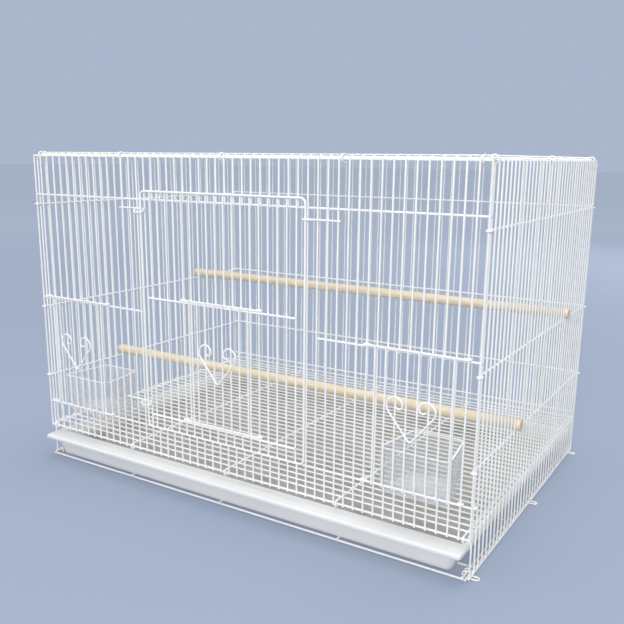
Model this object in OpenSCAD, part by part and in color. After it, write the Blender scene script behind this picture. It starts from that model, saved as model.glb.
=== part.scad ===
/* [Wire] */
// spacing of the upright wires
wire_pitch = 12; // [11.5:0.1:12.5]
// diameter of the upright wires
wire_d = 2; // [1.8:0.1:2.1]
// diameter of the rails and frame wires
rail_d = 2.4; // [2.2:0.1:2.5]
// diameter of the clip wires
clip_d = 1.8; // [1.6:0.1:1.9]
// upright wires across the front and the back
front_count = 52; // [52:2:54]
// upright wires along a side
side_count = 35; // [34:1:36]
// from the front plane to the first side wire
side_first = 5; // [5:0.1:5.4]

/* [Heights] */
// lowest end of the wires that reach the ground
wire_foot_z = 3; // [2.6:0.1:3.2]
// axis of the lowest rails
ground_rail_z = 3.2; // [3.2:0.1:3.4]
// axis of the front bottom rail, over the tray slot
front_rail_z = 45; // [44:0.5:48]
// axis of the sill rail under the doors
sill_z = 79.5; // [78:0.5:81]
// side rail under the lower perch
low_rail_z = 117.5; // [112:0.5:120]
// side rail under the upper perch
mid_rail_z = 213.5; // [210:0.5:216]
// side rail near the top, below the top ends of the wires
high_rail_drop = 63; // [59:0.5:67]
// head rail over a side door
feed_head_z = 226.5; // [225:0.5:230]
// head rail over the main door, below the top ends of the wires
main_head_drop = 50.5; // [47:0.5:54]
// top end of the upright wires
wall_top_z = 413; // [412:0.5:420]
// second rail of the back, above the floor grate
back_low_z = 60.5; // [58:0.5:66]

/* [Top] */
// inset of the bent top wire from the front plane
top_inset = 5.7; // [5.6:0.1:5.8]
// corner radius of the bent top wire
top_corner_r = 3; // [2.5:0.5:6]
// first inner cross wire of the top
top_cross_a = 141; // [120:1:160]
// second inner cross wire of the top, ahead of the back wires
top_cross_b = 141; // [120:1:160]
// outer ring clips on the front and back
ring_outer_x = 296.5; // [296.3:0.1:297]
// inner ring clips on the front and back
ring_inner_x = 153; // [152.5:0.5:154]

/* [Floor] */
// spacing of the floor grate wires
grate_pitch = 12.7; // [12.3:0.1:13]
// wires in the floor grate
grate_count = 32; // [30:1:32]
// first floor grate wire behind the front plane
grate_first = 9.5; // [9:0.5:11]
// outer bearer wires
bearer_outer_x = 299; // [298.5:0.5:299.5]
// inner bearer wires
bearer_inner_x = 153; // [152.5:0.5:154]
// radius of the hook at the front of a bearer
bearer_hook_r = 3.2; // [3:0.1:3.4]
// first cross wire of the base
base_cross_a = 26.5; // [24:0.5:30]
// second cross wire of the base
base_cross_b = 146.5; // [140:0.5:150]
// third cross wire of the base, ahead of the back wires
base_cross_c = 137.5; // [133:0.5:143]
// fourth cross wire of the base, ahead of the back wires
base_cross_d = 19; // [18:0.5:21]
// left runner under the tray
runner_left_x = -153; // [-160:1:-146]
// middle runner under the tray
runner_mid_x = -7; // [-12:1:4]
// right runner under the tray
runner_right_x = 157; // [150:1:162]
// how far a runner stands out in front
runner_front = 3.2; // [2.5:0.1:6]
// inner bend of a foot loop
foot_in_r = 3.5; // [3.4:0.1:3.6]
// outer bend of a foot loop
foot_out_r = 1; // [1:0.1:1.3]
// axis of the outer bend beyond the side wires
foot_reach = 7.5; // [6.5:0.5:9]

/* [Tray] */
// front edge of the tray, ahead of the front plane
tray_front = 15.5; // [15:0.5:18]
// room between the tray's rim and the back wires
tray_back_gap = 8; // [6:0.5:12]
// room between the tray's rim and the side wires
tray_side_gap = 2.4; // [2.2:0.1:3.5]
// top of the rim
tray_rim_z = 35.5; // [32:0.5:37]
// thickness of the rim and the floor
tray_t = 2; // [1.8:0.1:2.2]
// width of the rim at the sides and the back
rim_side = 7.6; // [7:0.1:9]
// width of the rim at the front
rim_front = 12; // [10:0.5:13]
// depth of the lip that hangs from the front of the rim
lip_drop = 4.5; // [3.5:0.5:7]
// how far the walls lean in at the bottom
tray_lean = 9; // [7:0.5:10]
// how far the front and back walls lean in at the bottom
tray_lean_front = 4.5; // [3:0.5:7]
// corner radius of the rim
tray_corner_r = 3; // [2.5:0.5:5]
// corner radius of the tray below its rim
tray_tub_r = 9; // [7:0.5:12]

/* [Main door] */
// left leg of the door frame, on which the door turns
door_x = -116; // [-116.4:0.1:-115.6]
// spacing of the two legs
door_w = 230; // [229:0.5:231]
// lowest wire of the door frame, over the sill rail
door_over_sill = 3.5; // [3.5:0.1:4.5]
// highest wire of the door frame, over the head rail
door_over_head = 10; // [8:0.5:12]
// distance of the door frame ahead of the front plane
door_y = 4.8; // [4.8:0.05:5]
// corner radius of the door frame
door_corner_r = 6; // [5:0.5:9]
// upright wires in the door between its legs
door_count = 18; // [18:1:18]
// lower short rail of the door, over its lowest wire
door_rail_low = 16.2; // [15:0.2:18]
// upper short rail of the door, over the lower one
door_rail_gap = 147; // [144:0.5:150]
// left end of the short rails, from the left leg
door_rail_start = 7; // [6.5:0.5:9]
// upper hinge eye, below the highest wire of the door
eye_high_drop = 22.5; // [20:0.5:32]
// lower hinge eye, over the lowest wire of the door
eye_low_rise = 29; // [25:0.5:33]
// lean of a hinge eye
eye_lean = 38; // [32:1:40]
// length of a hinge eye between its bends
eye_len = 7; // [6:0.5:8]
// length of the leg behind a hinge eye
eye_leg = 38; // [35:0.5:40]

/* [Latch] */
// latch, below the highest wire of the door
latch_drop = 21.5; // [18:0.5:30]
// radius of the latch eye round the door leg
latch_r = 2.5; // [2.5:0.05:2.6]
// length of the latch eye between its bends
latch_eye_len = 6; // [5:0.5:8]
// straight arm of the latch
latch_arm = 38; // [34:0.5:42]
// length of the finger tip
latch_tip = 6; // [4:0.5:8]

/* [Lift doors] */
// radius of the end rings on the lift doors
ring_r = 2.5; // [2.5:0.05:2.6]
// width of a heart handle between the middles of its lobes
heart_lobe_gap = 33; // [31:0.5:34]
// radius of a lobe
heart_lobe_r = 10; // [9:0.5:10.5]
// height of the lobe's middle over the point
heart_lobe_z = 32; // [30:0.5:34]
// radius of the bend at the point
heart_point_r = 2.5; // [2:0.1:3]
// radius of the curl inside a lobe
heart_curl_r = 5.5; // [4.5:0.5:6]
// height of the heart's point over the bottom bar
heart_rise = 55; // [48:1:62]

/* [Perches] */
// diameter of a perch
perch_d = 12.8; // [11:0.2:14]
// side wires ahead of the upper perch
perch_high_count = 26; // [24:1:28]
// side wires ahead of the lower perch
perch_low_count = 11; // [10:1:15]
// how far a perch stands out beyond the side wires
perch_over = 4; // [3:0.5:6]
// width of the slot in the end of a perch
perch_slot = 2.6; // [2.6:0.1:3]

/* [Cups] */
// middle of a cup, left and right of the centre
cup_x = 240; // [239.5:0.5:240.5]
// width of a cup at the front
cup_w = 80; // [75:0.5:82]
// depth of a cup, front to back
cup_depth = 68; // [62:0.5:72]
// how much narrower a cup is at the back, on each side
cup_taper = 10; // [8:0.5:12]
// top of a cup over the sill rail
cup_top = 41.5; // [36:0.5:44]
// bottom of a cup below the sill rail
cup_drop = 8.5; // [7:0.5:12]
// wall of a cup
cup_wall = 2; // [1.6:0.1:2.4]
// corner radius of a cup
cup_corner_r = 8; // [7:0.5:10]
// width of a cup hook
cup_hook_w = 6; // [5:0.5:7]
// half of the spacing of the two cup hooks
cup_hook_x = 24; // [23.5:0.1:24.5]

/* [Bends] */
// turn of a rail's end round the corner wire
rail_hook_turn = 250; // [200:5:260]
// turn of the sill rail's ends
sill_hook_turn = 240; // [200:5:250]
// turn of a lift door's end rings
ring_turn = 265; // [240:5:265]
// turn of the curl inside a heart's lobe
heart_curl_turn = 170; // [140:5:180]
// where a heart's curl leaves the lobe
heart_curl_at = 220; // [210:1:230]

/* [Fits] */
// gap of wires that are welded to each other
weld_gap = 0.02; // [0.01:0.01:0.05]
// gap of parts that move over each other
free_gap = 0.3; // [0.3:0.02:0.36]

/* [Hidden] */
$fn = 24;
white = [0.93, 0.93, 0.91];
tray_white = [0.97, 0.97, 0.96];
wood = [0.83, 0.66, 0.44];
clear = [0.86, 0.9, 0.92, 0.45];
wr = wire_d / 2;
high_rail_z = wall_top_z - high_rail_drop;
main_head_z = wall_top_z - main_head_drop;
door_low_z = sill_z + door_over_sill;
door_high_z = main_head_z + door_over_head;
door_rail_low_z = door_low_z + door_rail_low;
door_rail_high_z = door_rail_low_z + door_rail_gap;
eye_high_z = door_high_z - eye_high_drop;
eye_low_z = door_low_z + eye_low_rise;
latch_z = door_high_z - latch_drop;
rr = rail_d / 2;
cr = clip_d / 2;
// axis to axis of a wire welded to a rail
step = wr + rr + weld_gap;
half = wire_pitch * (front_count - 1) / 2;
depth = 2 * side_first + wire_pitch * (side_count - 1);
shift = (tray_front - depth - step - rr) / 2;
feed_first = 3;
feed_last = 8;
main_edge = 16;
rail_y = step;
back_rail_y = depth - step;
side_rail_x = half - step;
top_rail_z = wall_top_z - 1.3;
top_wire_z = wall_top_z + 0.4;
top_x = half - top_inset;
ring_mid = (top_inset + rail_y) / 2;
ring_mid_z = (top_rail_z + top_wire_z) / 2;
ring_in_r = norm([top_inset - rail_y, top_wire_z - top_rail_z]) / 2 + rr;
ring_clip_r = ring_in_r + cr + 0.04;
side_bearer_z = front_rail_z + bearer_hook_r;
base_cross_x = side_rail_x - rr - 0.38;
base_wire_z = ground_rail_z + 2 * rr + weld_gap;
base_edge_x = half - 4.9;
foot_z = cr;
tray_floor_z = base_wire_z + rr + free_gap;
tray_half = half - wr - tray_side_gap;
tray_back = depth - wr - tray_back_gap;
tray_wall_x = tray_half - rim_side;
tray_wall_y = rim_front - tray_front;
tray_wall_back = tray_back - rim_side;
door_wire_y = -door_y + step;
door_pitch = door_w / (door_count + 1);
door_end_x = door_x + door_w;
eye_back_y = -wr - weld_gap - wr;
eye_r = (door_y + eye_back_y) / cos(eye_lean);
feed_bar_low = sill_z + 2 * rr + free_gap;
feed_bar_high = feed_head_z + 2 * rr + free_gap;
main_bar_low = door_rail_low_z + 2 * rr + free_gap;
main_bar_high = door_rail_high_z + 2 * rr + free_gap;
perch_y_high = side_first + wire_pitch * perch_high_count;
perch_y_low = side_first + wire_pitch * perch_low_count;
perch_z_high = mid_rail_z + rr + free_gap + perch_d / 2;
perch_z_low = low_rail_z + rr + free_gap + perch_d / 2;
cup_y = rail_y + rr + 0.33;
hook_front = -wr + 0.1;

function wire_x(k) = k * wire_pitch - half;
function door_wire_x(i) = door_x + i * door_pitch;

module upright(x, y, z1, z2, r) {
  translate([x, y, z1]) cylinder(h = z2 - z1, r = r);
}

module across(x1, x2, y, z, r) {
  translate([x1, y, z]) rotate([0, 90, 0]) cylinder(h = x2 - x1, r = r);
}

module along(x, y1, y2, z, r) {
  translate([x, y1, z]) rotate([-90, 0, 0]) cylinder(h = y2 - y1, r = r);
}

// bend in a level plane, angles from +X to +Y
module bend_level(x, y, z, bend_r, from, sweep, r) {
  translate([x, y, z]) rotate([0, 0, from])
    rotate_extrude(angle = sweep) translate([bend_r, 0]) circle(r = r);
}

// bend in a plane that faces the front, angles from +X to +Z
module bend_front(x, y, z, bend_r, from, sweep, r) {
  translate([x, y, z]) rotate([90, 0, 0]) rotate([0, 0, from])
    rotate_extrude(angle = sweep) translate([bend_r, 0]) circle(r = r);
}

// bend in a plane that faces the side, angles from +Y to +Z
module bend_side(x, y, z, bend_r, from, sweep, r) {
  translate([x, y, z]) rotate([90, 0, 90]) rotate([0, 0, from])
    rotate_extrude(angle = sweep) translate([bend_r, 0]) circle(r = r);
}

// straight wire in a plane that faces the front
module slant_front(x1, z1, x2, z2, y, r, gap) {
  translate([x1, y, z1]) rotate([0, 90 - atan2(z2 - z1, x2 - x1), 0])
    translate([0, 0, gap]) cylinder(h = norm([x2 - x1, z2 - z1]) - 2 * gap, r = r);
}

module mirrored() {
  children();
  mirror([1, 0, 0]) children();
}

module rounded_plate(x1, x2, y1, y2, z1, z2, r) {
  translate([0, 0, z1]) linear_extrude(height = z2 - z1) {
    translate([x1 + r, y1]) square([x2 - x1 - 2 * r, y2 - y1]);
    translate([x1, y1 + r]) square([x2 - x1, y2 - y1 - 2 * r]);
    translate([x1 + r, y1 + r]) circle(r = r);
    translate([x2 - r, y1 + r]) circle(r = r);
    translate([x1 + r, y2 - r]) circle(r = r);
    translate([x2 - r, y2 - r]) circle(r = r);
  }
}

// upright plate, narrower at the back, with round corners
module tapered_plate(w, y1, y2, taper, z1, z2, r) {
  lean = atan2(taper, y2 - y1);
  side = cos(lean) * w / 2 + sin(lean) * y1 - r;
  front_x = (side - sin(lean) * (y1 + r)) / cos(lean);
  back_x = (side - sin(lean) * (y2 - r)) / cos(lean);
  front_y = y1 + r + r * sin(lean);
  back_y = y2 - r + r * sin(lean);
  out = r * cos(lean);
  translate([0, 0, z1]) linear_extrude(height = z2 - z1) {
    polygon([[-front_x, y1], [front_x, y1], [front_x + out, front_y], [back_x + out, back_y],
             [back_x, y2], [-back_x, y2], [-back_x - out, back_y], [-front_x - out, front_y]]);
    for (x = [-1, 1]) {
      translate([x * front_x, y1 + r]) circle(r = r);
      translate([x * back_x, y2 - r]) circle(r = r);
    }
  }
}

module front_panel() {
  color(white) translate([0, shift, 0]) {
    for (k = [0:front_count - 1]) {
      edge = min(k, front_count - 1 - k);
      feed = edge >= feed_first && edge <= feed_last;
      main = edge > main_edge;
      low_end = feed || main ? sill_z + rr : wall_top_z;
      upright(wire_x(k), 0, front_rail_z - rr, low_end, wr);
      if (feed) upright(wire_x(k), 0, feed_head_z - rr, wall_top_z, wr);
      if (main) upright(wire_x(k), 0, main_head_z - rr, wall_top_z, wr);
    }
    across(-half - 1, half + 1, rail_y, front_rail_z, rr);
    across(-half, half, rail_y, sill_z, rr);
    across(-half - 1, half + 1, rail_y, main_head_z, rr);
    across(-half - 1, half + 1, rail_y, top_rail_z, rr);
    mirrored() {
      across(-half - 1, wire_x(main_edge - 1) + rr, rail_y, feed_head_z, rr);
      bend_level(half, side_first, sill_z, side_first - rail_y, -90, sill_hook_turn, rr);
    }
  }
}

module back_panel() {
  color(white) translate([0, shift, 0]) {
    for (k = [0:front_count - 1])
      upright(wire_x(k), depth, wire_foot_z, wall_top_z, wr);
    back_z = [ground_rail_z, side_bearer_z + 3.8, back_low_z, low_rail_z + 2.7,
              mid_rail_z + 2.7, high_rail_z + 2.7, top_rail_z];
    for (z = back_z)
      across(-half - 1, half + 1, back_rail_y, z, rr);
  }
}

module side_wall() {
  for (j = [0:side_count - 1])
    upright(half, side_first + wire_pitch * j, wire_foot_z, wall_top_z, wr);
  along(side_rail_x, -1.7, depth - 3.7, ground_rail_z, rr);
  along(side_rail_x, 3.7, depth - 3.7, side_bearer_z, rr);
  along(side_rail_x, 3.6, depth - 3.7, top_rail_z, rr);
  for (z = [low_rail_z, mid_rail_z, high_rail_z]) {
    along(side_rail_x, 0, depth, z, rr);
    bend_level(half, 0, z, step, 180, rail_hook_turn, rr);
    bend_level(half, depth, z, step, 180 - rail_hook_turn, rail_hook_turn, rr);
  }
}

module right_panel() {
  color(white) translate([0, shift, 0]) side_wall();
}

module left_panel() {
  color(white) translate([0, shift, 0]) mirror([1, 0, 0]) side_wall();
}

module top_panel() {
  top_back = depth - top_inset;
  end_x = top_x - top_corner_r;
  end_y = top_inset + top_corner_r;
  color(white) translate([0, shift, 0]) {
    across(-end_x, end_x, top_inset, top_wire_z, rr);
    across(-end_x, end_x, top_back, top_wire_z, rr);
    mirrored() {
      along(top_x, end_y, depth - end_y, top_wire_z, rr);
      bend_level(end_x, end_y, top_wire_z, top_corner_r, -90, 90, rr);
      bend_level(end_x, depth - end_y, top_wire_z, top_corner_r, 0, 90, rr);
    }
    for (y = [top_cross_a, depth - top_cross_b])
      across(-top_x + rr + weld_gap, top_x - rr - weld_gap, y, top_wire_z, rr);
    for (k = [1:front_count - 2])
      along(wire_x(k), top_inset - rr, top_back + rr, top_wire_z + step, wr);
  }
}

module top_ring_clips() {
  color(white) translate([0, shift, 0]) {
    for (x = [-ring_outer_x, -ring_inner_x, 0, ring_inner_x, ring_outer_x]) {
      bend_side(x, ring_mid, ring_mid_z, ring_clip_r, 0, 360, cr);
      bend_side(x, depth - ring_mid, ring_mid_z, ring_clip_r, 0, 360, cr);
    }
    mirrored()
      for (y = [side_first + 9, side_first + 9 + 16 * wire_pitch, depth - side_first - 9])
        bend_front(half - ring_mid, y, ring_mid_z, ring_clip_r, 0, 360, cr);
  }
}

module floor_grate() {
  color(white) translate([0, shift, 0])
    for (n = [0:grate_count - 1])
      across(0.4 + wr - half, half - wr - 0.4, grate_first + grate_pitch * n, side_bearer_z + step, wr);
}

module grate_bearers() {
  color(white) translate([0, shift, 0])
    for (x = [-bearer_outer_x, -bearer_inner_x, 0, bearer_inner_x, bearer_outer_x]) {
      along(x, rail_y, depth - 7, side_bearer_z, rr);
      bend_side(x, rail_y, front_rail_z, bearer_hook_r, 90, rail_hook_turn, rr);
    }
}

module base_frame() {
  color(white) translate([0, shift, 0]) {
    for (y = [-0.5, base_cross_a, base_cross_b, depth - base_cross_c, depth - base_cross_d])
      across(-base_cross_x, base_cross_x, y, ground_rail_z, rr);
    mirrored() along(base_edge_x, -2, depth - 6, base_wire_z, rr);
    for (x = [runner_left_x, runner_mid_x, runner_right_x])
      along(x, -runner_front, depth - 3.8, base_wire_z, rr);
  }
}

module foot_loop(y) {
  in_z = foot_z + foot_in_r;
  out_x = half + foot_reach;
  out_z = foot_z + foot_out_r;
  span = norm([out_x - base_edge_x, out_z - in_z]);
  tilt = atan2(out_z - in_z, out_x - base_edge_x) + acos((foot_in_r - foot_out_r) / span);
  across(base_edge_x + weld_gap, out_x - weld_gap, y, foot_z, cr);
  bend_front(base_edge_x, y, in_z, foot_in_r, tilt, 270 - tilt, cr);
  bend_front(out_x, y, out_z, foot_out_r, -90, tilt + 90, cr);
  slant_front(base_edge_x + foot_in_r * cos(tilt), in_z + foot_in_r * sin(tilt),
              out_x + foot_out_r * cos(tilt), out_z + foot_out_r * sin(tilt), y, cr, weld_gap);
}

module foot_clips() {
  color(white) translate([0, shift, 0]) mirrored() {
    foot_loop(side_first + wire_pitch / 2);
    foot_loop(side_first + 17.5 * wire_pitch);
    foot_loop(side_first + (side_count - 1.5) * wire_pitch);
  }
}

module hinge_eye(z) {
  translate([door_x + 0.5, -door_y, z]) rotate([eye_lean, 0, 0]) {
    across(-eye_leg, -weld_gap, eye_r, 0, wr);
    across(weld_gap - eye_len, -weld_gap, -eye_r, 0, wr);
    bend_level(0, 0, 0, eye_r, -90, 180, wr);
    bend_level(-eye_len, 0, 0, eye_r, 160, 110, wr);
  }
}

module hinge_eyes() {
  color(white) translate([0, shift, 0]) {
    hinge_eye(eye_high_z);
    hinge_eye(eye_low_z);
  }
}

// solid with sloped walls, wider at the top
module tub(x, y1, y2, z1, z2, lean_x, lean_y, r) {
  intersection() {
    translate([0, y2, 0]) rotate([90, 0, 0]) linear_extrude(height = y2 - y1)
      polygon([[lean_x - x, z1], [x - lean_x, z1], [x, z2], [-x, z2]]);
    translate([-x, 0, 0]) rotate([90, 0, 90]) linear_extrude(height = 2 * x)
      polygon([[y1 + lean_y, z1], [y2 - lean_y, z1], [y2, z2], [y1, z2]]);
    rounded_plate(-x, x, y1, y2, z1, z2, r);
  }
}

module tray() {
  slope = tray_t / (tray_rim_z - tray_floor_z);
  color(tray_white) translate([0, shift, 0]) {
    difference() {
      union() {
        tub(tray_wall_x, tray_wall_y, tray_wall_back, tray_floor_z, tray_rim_z,
            tray_lean, tray_lean_front, tray_tub_r);
        rounded_plate(-tray_half, tray_half, -tray_front, tray_back,
                      tray_rim_z - tray_t, tray_rim_z, tray_corner_r);
        intersection() {
          difference() {
            rounded_plate(-tray_half, tray_half, -tray_front, tray_back,
                          tray_rim_z - lip_drop, tray_rim_z, tray_corner_r);
            rounded_plate(tray_t - tray_half, tray_half - tray_t, tray_t - tray_front,
                          tray_back - tray_t, tray_rim_z - lip_drop - 1, tray_rim_z + 1,
                          tray_corner_r - tray_t);
          }
          translate([-tray_half - 1, -tray_front - 1, 0])
            cube([2 * tray_half + 2, tray_corner_r + 1, tray_rim_z]);
        }
      }
      tub(tray_wall_x - tray_t, tray_wall_y + tray_t, tray_wall_back - tray_t,
          tray_floor_z + tray_t, tray_rim_z + 0.01,
          tray_lean * (1 - slope), tray_lean_front * (1 - slope), tray_tub_r - tray_t);
    }
  }
}

module door_frame() {
  low = door_low_z + door_corner_r;
  high = door_high_z - door_corner_r;
  left = door_x + door_corner_r;
  right = door_end_x - door_corner_r;
  color(white) translate([0, shift, 0]) {
    upright(door_x, -door_y, low, high, rr);
    upright(door_end_x, -door_y, low, high, rr);
    across(left, right, -door_y, door_low_z, rr);
    across(left, right, -door_y, door_high_z, rr);
    bend_front(left, -door_y, low, door_corner_r, 180, 90, rr);
    bend_front(right, -door_y, low, door_corner_r, 270, 90, rr);
    bend_front(right, -door_y, high, door_corner_r, 0, 90, rr);
    bend_front(left, -door_y, high, door_corner_r, 90, 90, rr);
  }
}

module door_grille() {
  color(white) translate([0, shift, 0]) {
    for (i = [1:door_count]) {
      cut = i >= 7 && i <= 12;
      upright(door_wire_x(i), door_wire_y, door_low_z - rr,
              cut ? door_rail_low_z + rr : door_high_z + rr, wr);
      if (cut) upright(door_wire_x(i), door_wire_y, door_rail_high_z - rr, door_high_z + rr, wr);
    }
    for (z = [door_rail_low_z, door_rail_high_z])
      across(door_x + door_rail_start, door_wire_x(door_count) + rr, -door_y, z, rr);
  }
}

module door_latch() {
  bend_y = -latch_r - 3 + 2 * latch_r;
  color(white) translate([door_end_x, shift - door_y, latch_z]) {
    bend_level(0, 0, 0, latch_r, 90, 180, wr);
    across(weld_gap, latch_eye_len - weld_gap, -latch_r, 0, wr);
    bend_level(latch_eye_len, 0, 0, latch_r, -90, 95, wr);
    across(weld_gap, latch_arm - weld_gap, latch_r, 0, wr);
    bend_level(latch_arm, bend_y, 0, 3, 20, 70, wr);
    translate([latch_arm + 3 * cos(20), bend_y + 3 * sin(20), 0]) rotate([0, 90, -70])
      translate([0, 0, weld_gap]) cylinder(h = latch_tip, r = wr);
    translate([latch_arm + 3 * cos(20) + latch_tip * cos(70),
               bend_y + 3 * sin(20) - latch_tip * sin(70), 0]) sphere(r = wr * 1.25);
  }
}

module lift_bar(x1, x2, y, z) {
  across(x1 + weld_gap, x2 - weld_gap, y - ring_r, z, rr);
  bend_level(x1, y, z, ring_r, 270 - ring_turn, ring_turn, rr);
  bend_level(x2, y, z, ring_r, -90, ring_turn, rr);
}

// first and last are the guide wires, the door's own wires lie between them
module lift_door(first, pitch, y, z1, z2) {
  lift_bar(first, first + 9 * pitch, y, z1);
  lift_bar(first, first + 9 * pitch, y, z2);
  for (n = [1:8])
    upright(first + n * pitch, y - ring_r - step, z1 - rr, z2 + rr, wr);
}

module lift_left() {
  color(white) translate([0, shift, 0])
    lift_door(wire_x(1), wire_pitch, 0, feed_bar_low, feed_bar_high);
}

module lift_right() {
  color(white) translate([0, shift, 0])
    lift_door(wire_x(front_count - 11), wire_pitch, 0, feed_bar_low, feed_bar_high);
}

module lift_centre() {
  color(white) translate([0, shift, 0])
    lift_door(door_wire_x(5), door_pitch, door_wire_y, main_bar_low, main_bar_high);
}

module heart(x, y, z) {
  lobe_x = heart_lobe_gap / 2;
  rise = heart_lobe_z - heart_point_r;
  span = norm([lobe_x, rise]);
  lean = atan2(rise, lobe_x) - asin((heart_lobe_r - heart_point_r) / span);
  curl = heart_lobe_r - heart_curl_r;
  translate([x, y, z]) {
    bend_front(0, 0, heart_point_r, heart_point_r, 180 + 90 - lean, 2 * lean, wr);
    mirrored() {
      slant_front(heart_point_r * sin(lean), heart_point_r - heart_point_r * cos(lean),
                  lobe_x + heart_lobe_r * sin(lean), heart_lobe_z - heart_lobe_r * cos(lean), 0, wr,
                  weld_gap);
      bend_front(lobe_x, 0, heart_lobe_z, heart_lobe_r, lean - 90, heart_curl_at + 90 - lean, wr);
      bend_front(lobe_x + curl * cos(heart_curl_at), 0, heart_lobe_z + curl * sin(heart_curl_at),
                 heart_curl_r, heart_curl_at + 0.2, heart_curl_turn, wr);
    }
  }
}

module heart_left() {
  color(white) translate([0, shift, 0])
    heart(wire_x(5.5), -ring_r - 2 * step + rr - wr, feed_bar_low + heart_rise);
}

module heart_right() {
  color(white) translate([0, shift, 0])
    heart(wire_x(front_count - 6.5), -ring_r - 2 * step + rr - wr, feed_bar_low + heart_rise);
}

module heart_centre() {
  color(white) translate([0, shift, 0])
    heart(door_wire_x(9.5), door_wire_y - ring_r - 2 * step + rr - wr, main_bar_low + heart_rise);
}

module perch(y, z) {
  difference() {
    across(-half - perch_over, half + perch_over, y, z, perch_d / 2);
    mirrored() translate([half - wr - 0.4, y - perch_slot / 2, z - perch_d])
      cube([perch_over + wr + 1, perch_slot, 2 * perch_d]);
  }
}

module perch_upper() {
  color(wood) translate([0, shift, 0]) perch(perch_y_high, perch_z_high);
}

module perch_lower() {
  color(wood) translate([0, shift, 0]) perch(perch_y_low, perch_z_low);
}

module cup() {
  low = sill_z - cup_drop;
  high = sill_z + cup_top;
  plate_z = sill_z + rr + free_gap;
  inner_taper = cup_taper * (1 - 2 * cup_wall / cup_depth);
  difference() {
    tapered_plate(cup_w, cup_y, cup_y + cup_depth, cup_taper, low, high, cup_corner_r);
    tapered_plate(cup_w - 2 * cup_wall, cup_y + cup_wall, cup_y + cup_depth - cup_wall, inner_taper,
                  low + cup_wall, high + 1, cup_corner_r - cup_wall);
  }
  mirrored() translate([cup_hook_x - cup_hook_w / 2, hook_front, 0]) {
    translate([0, 0, plate_z]) cube([cup_hook_w, cup_y + cup_wall / 2 - hook_front, 2]);
    translate([0, 0, plate_z - 7]) cube([cup_hook_w, rail_y - rr - 0.32 - hook_front, 9]);
  }
}

module cup_left() {
  color(clear) translate([-cup_x, shift, 0]) cup();
}

module cup_right() {
  color(clear) translate([cup_x, shift, 0]) cup();
}

front_panel();
back_panel();
left_panel();
right_panel();
top_panel();
top_ring_clips();
floor_grate();
grate_bearers();
base_frame();
foot_clips();
hinge_eyes();
tray();
door_frame();
door_grille();
door_latch();
lift_left();
lift_centre();
lift_right();
heart_left();
heart_centre();
heart_right();
perch_upper();
perch_lower();
cup_left();
cup_right();
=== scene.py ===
# %% [markdown]
# # A wire breeding cage for canaries
# The cage is a box of thin white wires with a litter tray, doors, perches and feeding cups.
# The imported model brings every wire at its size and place, so this script gives the wires their
# coating and models again the pieces that a maker would look at closely: the bent wires, the
# moulded tray, the clear cups and the wooden perches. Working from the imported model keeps
# each new piece exactly where the moving one is.

from math import asin, atan2, cos, degrees, hypot, pi, radians, sin

import bmesh
import bpy
from mathutils import Matrix, Vector


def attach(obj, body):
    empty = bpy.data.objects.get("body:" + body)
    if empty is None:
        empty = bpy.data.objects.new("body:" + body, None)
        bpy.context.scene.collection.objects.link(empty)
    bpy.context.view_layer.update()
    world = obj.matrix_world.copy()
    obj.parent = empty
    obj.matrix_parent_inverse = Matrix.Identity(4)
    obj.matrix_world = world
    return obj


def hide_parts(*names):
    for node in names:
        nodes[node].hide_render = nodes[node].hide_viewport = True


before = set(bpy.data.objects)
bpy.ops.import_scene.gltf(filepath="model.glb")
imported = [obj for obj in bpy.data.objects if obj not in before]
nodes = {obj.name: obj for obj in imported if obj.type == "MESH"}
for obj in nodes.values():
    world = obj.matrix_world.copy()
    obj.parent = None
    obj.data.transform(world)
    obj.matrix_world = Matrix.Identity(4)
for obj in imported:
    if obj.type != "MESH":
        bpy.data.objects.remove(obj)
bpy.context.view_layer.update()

# %% [markdown]
# ## Sizes shared by the pieces
# Lengths are in metres, and the front row of upright wires stands at FRONT_Y. The main door is
# set a millimetre to the left, and its wires have a pitch of their own, because 19 even gaps
# have to fill its width. The legs of the door turn in front of the wall, at LEG_Y.

# %% Name the shared sizes
MM = 0.001
UPRIGHT_R = 1.0 * MM
PITCH = 12 * MM
HALF_WIDTH = 306 * MM
FRONT_Y = -202.96 * MM
BACK_Y = FRONT_Y + 418 * MM
LEG_Y = FRONT_Y - 4.8 * MM
SIDE_DOOR_X = 240 * MM
DOOR_LEFT = -116 * MM
DOOR_WIDE = 230 * MM
DOOR_PITCH = DOOR_WIDE / 19
DOWN = (0, 0, -1)
print("front plane", round(FRONT_Y, 5), "back plane", round(BACK_Y, 5))

# %% [markdown]
# ## The camera
# The photograph looks at the front right corner, from about the height of the cage's top. The
# place, the aim and the lens were worked out from the corners of the cage, so the wires run
# towards the same vanishing points. The small shift moves the frame and not the view.

# %% Place the camera
CAMERA_AT = (0.52885, -0.85888, 0.41187)
CAMERA_AIM = (-0.51413, 0.82776, -0.22468)
CAMERA_ROLL = radians(0.596)
LENS = 43.34
SHIFT_X, SHIFT_Y = -0.0013, 0.0312
NEAREST = 0.02
aim = Vector(CAMERA_AIM).normalized()
side = aim.cross(Vector((0, 0, 1))).normalized()
up = side.cross(aim)
side, up = (side * cos(CAMERA_ROLL) + up * sin(CAMERA_ROLL),
            up * cos(CAMERA_ROLL) - side * sin(CAMERA_ROLL))
eye = bpy.data.objects.new("camera", bpy.data.cameras.new("camera"))
bpy.context.collection.objects.link(eye)
turned = Matrix((side, up, -aim)).transposed().to_4x4()
eye.matrix_world = Matrix.Translation(CAMERA_AT) @ turned
eye.data.lens = LENS
eye.data.shift_x = SHIFT_X
eye.data.shift_y = SHIFT_Y
eye.data.clip_start = NEAREST
bpy.context.scene.camera = eye
bpy.context.scene.view_settings.view_transform = "Standard"
print("camera lens", eye.data.lens)

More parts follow.
